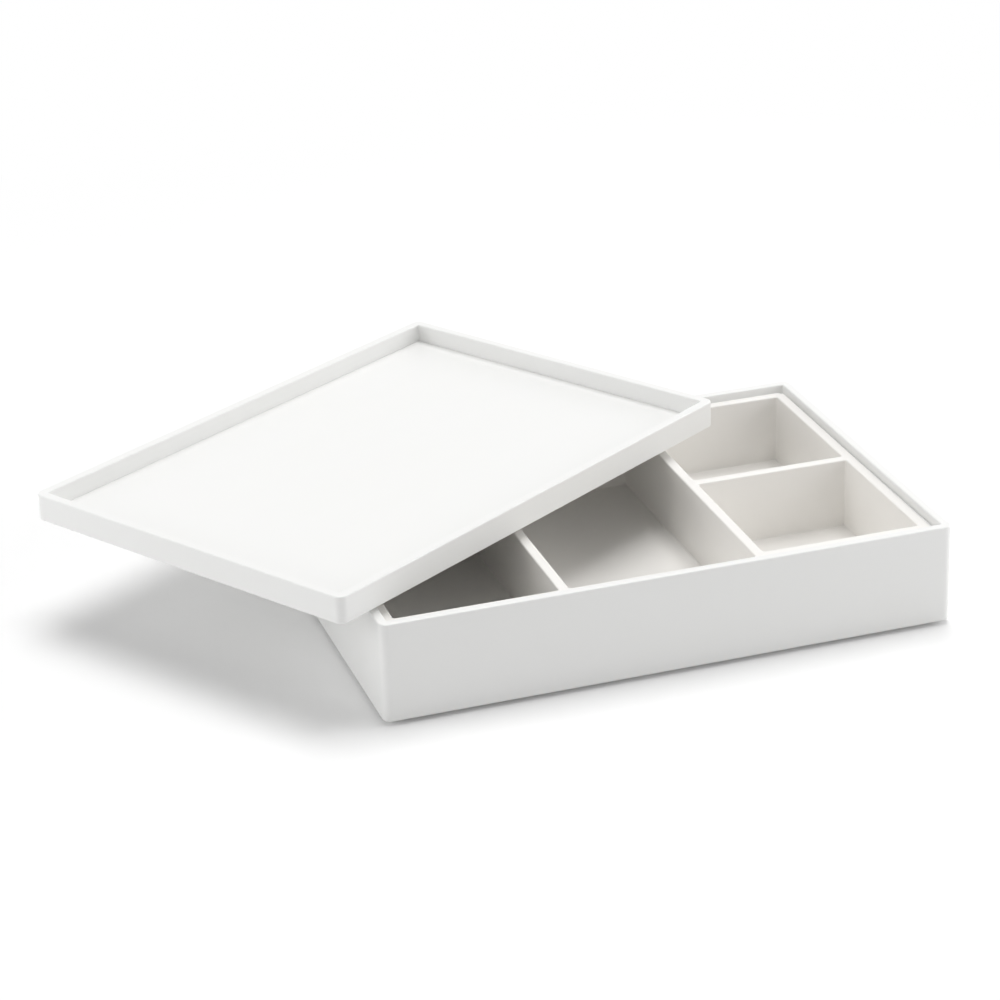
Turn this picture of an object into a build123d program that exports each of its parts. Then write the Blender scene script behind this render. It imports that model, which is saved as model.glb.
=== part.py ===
import os
from math import cos, radians, sin
from build123d import *

# Accessory tray: an open box with a drop-in divided insert, and a lid that is itself a shallow tray.
# Origin: centre of the box's footprint on the surface it stands on.
# +X runs along the long side, +Y to the back and +Z up. All sizes are in millimetres.

# Outer box
box_width = 270.0
box_depth = 190.0
box_height = 47.0  # from the lower edge of the walls to the rim
box_wall = 4.3
box_floor = 3.0
corner_radius = 4.0  # upright outside corners of the box and the lid
cavity_corner_radius = 0.8
ledge_width = 3.0  # the step in the walls that carries the insert's rim
edge_round = 0.7  # moulded break on the rims and lower edges

# Stacking ribs: the box's foot rim, and the locating rib under the lid
foot_height = 2.0
locating_depth = 2.0  # how far the lid's rib reaches below its side
rib_width = 2.5
rib_clearance = 0.6  # from the rib to the walls that it drops between

# Divided insert
insert_gap = 1.45  # mean play between the insert and the box, each side
insert_drop = 3.1  # from the box's rim down to the insert's rim
insert_rim = 4.7
insert_outer_round = 0.3  # moulded break on the outside of the insert's rim
divider_width = 4.9
side_compartment_width = 75.6  # the left column and the right column
split_compartment_depth = 80.5  # each of the two compartments in the right column
compartment_depth = 34.0
insert_wall = 1.6
insert_corner_radius = 4.0
compartment_corner_radius = 1.2
compartment_floor_round = 0.6
draft_angle = 1.0  # degrees, on the compartment walls
insert_shift_x = -0.5  # the insert lies slightly askew in its play
insert_shift_y = 0.2
insert_turn = -0.4  # degrees, anticlockwise seen from above

# Lid
lid_height = 13.0
lid_rim = 4.5
lid_recess = 9.0
lid_floor = 3.0
lid_shift_x = -87.2  # the lid lies askew: its centre, seen from the box's centre
lid_shift_y = 59.7
lid_turn = 32.2  # degrees, anticlockwise seen from above

# Sizes and levels that follow
box_underside = foot_height
box_floor_top = box_underside + box_floor
box_rim_level = box_underside + box_height
cavity_width = box_width - 2 * box_wall
cavity_depth = box_depth - 2 * box_wall
lower_cavity_width = cavity_width - 2 * ledge_width
lower_cavity_depth = cavity_depth - 2 * ledge_width
rib_outer_width = cavity_width - 2 * rib_clearance
rib_outer_depth = cavity_depth - 2 * rib_clearance
rib_inner_width = rib_outer_width - 2 * rib_width
rib_inner_depth = rib_outer_depth - 2 * rib_width
rib_corner_radius = cavity_corner_radius + rib_width

insert_width = cavity_width - 2 * insert_gap
insert_depth = cavity_depth - 2 * insert_gap
insert_top = box_rim_level - insert_drop
ledge_level = insert_top - insert_wall
compartment_floor = insert_top - compartment_depth
inner_width = insert_width - 2 * insert_rim
inner_depth = insert_depth - 2 * insert_rim
middle_compartment_width = inner_width - 2 * side_compartment_width - 2 * divider_width
side_column_x = (inner_width - side_compartment_width) / 2
right_back_y = (inner_depth - split_compartment_depth) / 2
right_front_y = right_back_y - split_compartment_depth - divider_width
insert_plane = Plane(
    origin=(insert_shift_x, insert_shift_y, 0),
    x_dir=(cos(radians(insert_turn)), sin(radians(insert_turn)), 0),
    z_dir=(0, 0, 1),
)

# Each compartment: its centre in x and y, its width and its depth front to back, at the rim
compartments = [
    (-side_column_x, 0, side_compartment_width, inner_depth),
    (0, 0, middle_compartment_width, inner_depth),
    (side_column_x, right_front_y, side_compartment_width, split_compartment_depth),
    (side_column_x, right_back_y, side_compartment_width, split_compartment_depth),
]

lid_side_bottom = box_rim_level + locating_depth
lid_top = lid_side_bottom + lid_height
lid_recess_floor = lid_top - lid_recess
lid_panel_underside = lid_recess_floor - lid_floor
lid_rib_bottom = box_rim_level
lid_plane = Plane(
    origin=(lid_shift_x, lid_shift_y, 0),
    x_dir=(cos(radians(lid_turn)), sin(radians(lid_turn)), 0),
    z_dir=(0, 0, 1),
)

os.makedirs("parts", exist_ok=True)

# Outer box: stepped walls and floor in one moulding, on a foot rim set in from the edge
with BuildPart() as outer_box:
    with BuildSketch(Plane.XY.offset(box_underside)):
        RectangleRounded(box_width, box_depth, corner_radius)
    extrude(amount=box_height)
    with BuildSketch(Plane.XY.offset(ledge_level)):
        RectangleRounded(cavity_width, cavity_depth, cavity_corner_radius)
    extrude(amount=box_rim_level - ledge_level, mode=Mode.SUBTRACT)
    with BuildSketch(Plane.XY.offset(box_floor_top)):
        RectangleRounded(lower_cavity_width, lower_cavity_depth, cavity_corner_radius)
    extrude(amount=ledge_level - box_floor_top, mode=Mode.SUBTRACT)
    fillet(outer_box.edges().group_by(Axis.Z)[-1], radius=edge_round)
    fillet(outer_box.faces().sort_by(Axis.Z)[0].outer_wire().edges(), radius=edge_round)
    with BuildSketch():
        RectangleRounded(rib_outer_width, rib_outer_depth, rib_corner_radius)
        RectangleRounded(rib_inner_width, rib_inner_depth, cavity_corner_radius, mode=Mode.SUBTRACT)
    extrude(amount=foot_height)

# Divided insert: a rim that rests on the ledge, with thin-walled compartments that hang from it
with BuildPart() as divided_insert:
    with BuildSketch(insert_plane.offset(ledge_level)):
        RectangleRounded(insert_width, insert_depth, insert_corner_radius)
    extrude(amount=insert_top - ledge_level)
    for x, y, width, depth in compartments:
        with BuildSketch(insert_plane.offset(ledge_level)):
            with Locations((x, y)):
                RectangleRounded(
                    width + 2 * insert_wall,
                    depth + 2 * insert_wall,
                    compartment_corner_radius + insert_wall,
                )
        extrude(amount=-compartment_depth, taper=draft_angle)
    for x, y, width, depth in compartments:
        with BuildSketch(insert_plane.offset(insert_top)):
            with Locations((x, y)):
                RectangleRounded(width, depth, compartment_corner_radius)
        extrude(amount=-compartment_depth, taper=draft_angle, mode=Mode.SUBTRACT)
    insert_rim_face = divided_insert.faces().sort_by(Axis.Z)[-1]
    fillet(insert_rim_face.outer_wire().edges(), radius=insert_outer_round)
    insert_rim_face = divided_insert.faces().sort_by(Axis.Z)[-1]
    fillet(insert_rim_face.inner_wires().edges(), radius=edge_round)
    floors = divided_insert.faces().filter_by(Axis.Z).filter_by_position(
        Axis.Z, compartment_floor - edge_round, compartment_floor + edge_round
    )
    fillet(floors.edges(), radius=compartment_floor_round)

# Lid: a shallow tray, with a locating rib below that drops between the box's walls
with BuildPart() as lid:
    with BuildSketch(lid_plane.offset(lid_side_bottom)):
        RectangleRounded(box_width, box_depth, corner_radius)
    extrude(amount=lid_height)
    with BuildSketch(lid_plane.offset(lid_recess_floor)):
        RectangleRounded(box_width - 2 * lid_rim, box_depth - 2 * lid_rim, cavity_corner_radius)
    extrude(amount=lid_recess, mode=Mode.SUBTRACT)
    fillet(lid.edges().group_by(Axis.Z)[-1], radius=edge_round)
    fillet(lid.faces().sort_by(Axis.Z)[0].outer_wire().edges(), radius=edge_round)
    with BuildSketch(lid_plane.offset(lid_side_bottom)):
        RectangleRounded(cavity_width, cavity_depth, cavity_corner_radius)
    extrude(amount=lid_panel_underside - lid_side_bottom, mode=Mode.SUBTRACT)
    with BuildSketch(lid_plane.offset(lid_rib_bottom)):
        RectangleRounded(rib_outer_width, rib_outer_depth, rib_corner_radius)
        RectangleRounded(rib_inner_width, rib_inner_depth, cavity_corner_radius, mode=Mode.SUBTRACT)
    extrude(amount=lid_panel_underside - lid_rib_bottom)

outer_box.part.label = "outer_box"
divided_insert.part.label = "divided_insert"
lid.part.label = "lid"

for piece in (outer_box.part, divided_insert.part, lid.part):
    export_step(piece, f"parts/{piece.label}.step")
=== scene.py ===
# Accessory tray in satin white plastic: materials, floor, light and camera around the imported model.
# Everything is in metres, in the model's own frame: +X along the box's long side, +Y back, +Z up.
import math

import bpy
from mathutils import Matrix, Vector

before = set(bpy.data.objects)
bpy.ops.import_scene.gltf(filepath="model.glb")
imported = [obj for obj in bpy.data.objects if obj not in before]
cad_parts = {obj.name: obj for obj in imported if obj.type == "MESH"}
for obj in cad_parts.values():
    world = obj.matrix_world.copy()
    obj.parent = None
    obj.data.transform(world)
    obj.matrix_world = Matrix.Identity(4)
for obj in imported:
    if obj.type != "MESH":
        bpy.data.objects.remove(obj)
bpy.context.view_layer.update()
scene = bpy.context.scene
mm = 0.001
print("frame loaded:", ", ".join(sorted(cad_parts)))


# sRGB hex to the linear values that shaders take
def linear(hexColour):
    values = [int(hexColour[i:i + 2], 16) / 255 for i in (0, 2, 4)]
    return [v / 12.92 if v <= 0.04045 else ((v + 0.055) / 1.055) ** 2.4 for v in values] + [1.0]


# One node, with its settings, its inputs' values and the outputs linked to its inputs. On a Mix
# node, 0 is the factor, 2 and 3 are its two numbers, and 6 and 7 its two colours.
def addNode(tree, kind, settings=None, inputs=None, links=None):
    node = tree.nodes.new(kind)
    for name, value in (settings or {}).items():
        setattr(node, name, value)
    for name, value in (inputs or {}).items():
        node.inputs[name].default_value = value
    for name, source in (links or {}).items():
        tree.links.new(source, node.inputs[name])
    return node


# 1 for a ray from the camera or from a glossy or clear surface, and 0 for any other
def seenRay(tree):
    ray = addNode(tree, "ShaderNodeLightPath")
    cameraOrGlossy = addNode(tree, "ShaderNodeMath", {"operation": "MAXIMUM"},
                             links={0: ray.outputs["Is Camera Ray"], 1: ray.outputs["Is Glossy Ray"]})
    seen = addNode(tree, "ShaderNodeMath", {"operation": "MAXIMUM"},
                   links={0: cameraOrGlossy.outputs[0], 1: ray.outputs["Is Transmission Ray"]})
    return seen.outputs[0]


def newMaterial(name):
    material = bpy.data.materials.new(name)
    material.use_nodes = True
    material.node_tree.nodes.clear()
    return material, material.node_tree


# White ABS from a finely blasted mould. Broad flow marks run along each piece's long side and
# shift its tone and gloss a little. The walls have a slight waviness, the skin a fine grain that
# softens its reflections, and the rounded edges are rubbed a little smoother than the faces.
# The real grain, about 0.15 mm across, is too fine to show here and is drawn at 0.7 mm.
# flowLow and flowHigh are the noise values between which the gloss shifts. edgeNone and edgeFull are
# the cosines of the bevel's turn at which an edge begins and is complete.
mouldedAbs = {
    "colour": "F4F4F3",
    "flowColour": "F2F2F0",
    "flowLength": 110 * mm,
    "flowWidth": 38 * mm,
    "flowLow": 0.3,
    "flowHigh": 0.7,
    "ior": 1.54,
    "roughness": 0.34,
    "roughnessSpread": 0.05,
    "edgeWidth": 0.9 * mm,
    "edgeNone": 0.98,
    "edgeFull": 0.80,
    "edgeRoughness": 0.26,
    "waveWidth": 38 * mm,
    "waveDepth": 0.03 * mm,
    "grainWidth": 0.7 * mm,
    "grainDepth": 0.004 * mm,
}


def plastic(name, look, piece):
    material, tree = newMaterial(name)
    place = addNode(tree, "ShaderNodeTexCoord")
    turned = addNode(tree, "ShaderNodeMapping", {"vector_type": "TEXTURE"},
                     inputs={"Rotation": (0, 0, math.radians(piece["turn"])),
                             "Location": (piece["markShift"], 0, 0)},
                     links={"Vector": place.outputs["Object"]})
    drawn = addNode(tree, "ShaderNodeMapping",
                    inputs={"Scale": (look["flowWidth"] / look["flowLength"], 1, 1)},
                    links={"Vector": turned.outputs["Vector"]})
    flow = addNode(tree, "ShaderNodeTexNoise", inputs={"Scale": 1 / look["flowWidth"], "Detail": 2.0},
                   links={"Vector": drawn.outputs["Vector"]})
    tone = addNode(tree, "ShaderNodeMix", {"data_type": "RGBA"}, links={0: flow.outputs[0]})
    tone.inputs[6].default_value = linear(look["colour"])
    tone.inputs[7].default_value = linear(look["flowColour"])

    # Where a wide bevel would turn the surface most, the piece has an edge.
    bevel = addNode(tree, "ShaderNodeBevel", {"samples": 4}, inputs={"Radius": look["edgeWidth"]})
    shape = addNode(tree, "ShaderNodeNewGeometry")
    facing = addNode(tree, "ShaderNodeVectorMath", {"operation": "DOT_PRODUCT"},
                     links={0: bevel.outputs[0], 1: shape.outputs["Normal"]})
    edge = addNode(tree, "ShaderNodeMapRange",
                   inputs={"From Min": look["edgeNone"], "From Max": look["edgeFull"]},
                   links={"Value": facing.outputs["Value"]})
    skin = addNode(tree, "ShaderNodeMapRange",
                   inputs={"From Min": look["flowLow"], "From Max": look["flowHigh"],
                           "To Min": look["roughness"] - look["roughnessSpread"],
                           "To Max": look["roughness"] + look["roughnessSpread"]},
                   links={"Value": flow.outputs[0]})
    rough = addNode(tree, "ShaderNodeMix", {"data_type": "FLOAT"}, inputs={3: look["edgeRoughness"]},
                    links={0: edge.outputs[0], 2: skin.outputs[0]})

    wave = addNode(tree, "ShaderNodeTexNoise", inputs={"Scale": 1 / look["waveWidth"], "Detail": 1.0},
                   links={"Vector": turned.outputs["Vector"]})
    waveBump = addNode(tree, "ShaderNodeBump", inputs={"Strength": 1.0, "Distance": look["waveDepth"]},
                       links={"Height": wave.outputs[0]})
    grain = addNode(tree, "ShaderNodeTexNoise", inputs={"Scale": 1 / look["grainWidth"], "Detail": 2.0},
                    links={"Vector": turned.outputs["Vector"]})
    grainBump = addNode(tree, "ShaderNodeBump", inputs={"Strength": 1.0, "Distance": look["grainDepth"]},
                        links={"Height": grain.outputs[0], "Normal": waveBump.outputs["Normal"]})
    shader = addNode(tree, "ShaderNodeBsdfPrincipled", inputs={"IOR": look["ior"]},
                     links={"Base Color": tone.outputs[2], "Roughness": rough.outputs[0],
                            "Normal": grainBump.outputs["Normal"]})
    addNode(tree, "ShaderNodeOutputMaterial", links={"Surface": shader.outputs["BSDF"]})
    return material


def dress(node, material):
    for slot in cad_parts[node].material_slots:
        slot.material = material


# Outer box
box = {"turn": 0.0, "markShift": 0.0}
dress("outer_box", plastic("moulded ABS, outer box", mouldedAbs, box))
print("outer box done")

# Divided insert. Its white is painted a trace lighter and warmer than the box's and the lid's: painted
# warm light, standing in for the glow that jewellery in its compartments bounces onto their walls
insert = {"turn": -0.4, "markShift": 400 * mm}
# The lighter, warmer colour here is painted bounce light, not a different plastic.
insertAbsPaintedBounce = dict(mouldedAbs, colour="F8F6F3", flowColour="F6F4F0")
dress("divided_insert", plastic("moulded ABS with painted warm bounce, divided insert", insertAbsPaintedBounce, insert))
print("divided insert done")

# Lid, which lies turned on the box, so its marks turn with it
lid = {"turn": 32.2, "markShift": 800 * mm}
dress("lid", plastic("moulded ABS, lid", mouldedAbs, lid))
print("lid done")

# Floor: a sheet of white paper that the camera and reflections see as white outside the shadow. Past
# fadeStart, in metres from the tray's centre, it fades into the plain white of the room.
paper = {"size": 8.0, "colour": "F2F2F2", "seenColour": "FFFFFF", "fadeStart": 0.4, "fadeEnd": 0.75}
bpy.ops.mesh.primitive_plane_add(size=paper["size"], location=(0, 0, 0))
floor = bpy.context.object
floor.name = "floor"
material, tree = newMaterial("matt white paper")
seen = seenRay(tree)
tone = addNode(tree, "ShaderNodeMix", {"data_type": "RGBA"}, links={0: seen})
tone.inputs[6].default_value = linear(paper["colour"])
tone.inputs[7].default_value = linear(paper["seenColour"])
sheet = addNode(tree, "ShaderNodeBsdfDiffuse", links={"Color": tone.outputs[2]})
spot = addNode(tree, "ShaderNodeTexCoord")
away = addNode(tree, "ShaderNodeVectorMath", {"operation": "LENGTH"}, links={0: spot.outputs["Object"]})
fade = addNode(tree, "ShaderNodeMapRange",
               inputs={"From Min": paper["fadeStart"], "From Max": paper["fadeEnd"]},
               links={"Value": away.outputs["Value"]})
seenFade = addNode(tree, "ShaderNodeMath", {"operation": "MULTIPLY"},
                   links={0: fade.outputs[0], 1: seen})
plain = addNode(tree, "ShaderNodeEmission", inputs={"Color": (1, 1, 1, 1), "Strength": 1.0})
paperOrPlain = addNode(tree, "ShaderNodeMixShader",
                       links={0: seenFade.outputs[0], 1: sheet.outputs[0], 2: plain.outputs[0]})
addNode(tree, "ShaderNodeOutputMaterial", links={"Surface": paperOrPlain.outputs[0]})
floor.data.materials.append(material)
print("floor done")

# Room: white to the camera and in reflections, and a faint even fill otherwise
room = {"fill": 0.263, "seen": 1.0}
world = bpy.data.worlds.new("white studio")
scene.world = world
world.use_nodes = True
tree = world.node_tree
tree.nodes.clear()
strength = addNode(tree, "ShaderNodeMapRange", inputs={"To Min": room["fill"], "To Max": room["seen"]},
                   links={"Value": seenRay(tree)})
sky = addNode(tree, "ShaderNodeBackground", inputs={"Color": (1, 1, 1, 1)},
              links={"Strength": strength.outputs[0]})
addNode(tree, "ShaderNodeOutputWorld", links={"Surface": sky.outputs[0]})


# A softbox at a place, aimed at a point, with its width and height in metres and its power in watts
def softbox(name, place, aim, width, height, watts):
    lamp = bpy.data.lights.new(name, "AREA")
    lamp.shape = "RECTANGLE"
    lamp.size, lamp.size_y = width, height
    lamp.energy = watts
    holder = bpy.data.objects.new(name, lamp)
    holder.location = place
    holder.rotation_mode = "QUATERNION"
    holder.rotation_quaternion = (Vector(aim) - Vector(place)).to_track_quat("-Z", "Y")
    scene.collection.objects.link(holder)


# One large softbox hangs overhead, a little to the back and to the right. Three low panels stand
# round the tray, all at the same rise in degrees above it. Each has its bearing in degrees from the
# front towards +X, its distance in metres and its power in watts.
overhead = {"place": (0.6, 1.2, 4.8), "aim": (0.6, 1.2, 0.0), "width": 2.4, "height": 3.6, "watts": 156}
softbox("overhead softbox", **overhead)
panel = {"width": 1.2, "height": 0.6, "rise": 20, "aim": Vector((-0.02, 0.0, 0.03))}
panels = {
    "right panel": (90, 1.3, 4.3),
    "front right panel": (58, 1.0, 2.5),
    "left panel": (270, 1.3, 5.6),
}
for name, (bearing, distance, watts) in panels.items():
    bearing, rise = math.radians(bearing), math.radians(panel["rise"])
    out = Vector((math.sin(bearing) * math.cos(rise),
                  -math.cos(bearing) * math.cos(rise),
                  math.sin(rise)))
    softbox(name, panel["aim"] + out * distance, panel["aim"], panel["width"], panel["height"], watts)
print("light done")

# Camera, set so that the edges fall where they do in the photo. The lens and the sensor are in
# millimetres, and right, down and ahead are the camera's own directions.
view = {
    "lens": 112.867,
    "sensor": 36.0,
    "nearest": 0.1,
    "farthest": 50,
    "place": (-0.44701, -1.25616, 0.64466),
    "right": (0.948399, -0.315473, -0.031888),
    "down": (-0.156779, -0.379139, -0.911962),
    "ahead": (0.275609, 0.869903, -0.409035),
}
lens = bpy.data.cameras.new("camera")
lens.sensor_width = view["sensor"]
lens.lens = view["lens"]
lens.clip_start = view["nearest"]
lens.clip_end = view["farthest"]
camera = bpy.data.objects.new("camera", lens)
turn = Matrix((view["right"], -Vector(view["down"]), -Vector(view["ahead"]))).transposed()
camera.matrix_world = Matrix.Translation(view["place"]) @ turn.to_4x4()
scene.collection.objects.link(camera)
scene.camera = camera
scene.view_settings.view_transform = "Standard"
print("camera done")
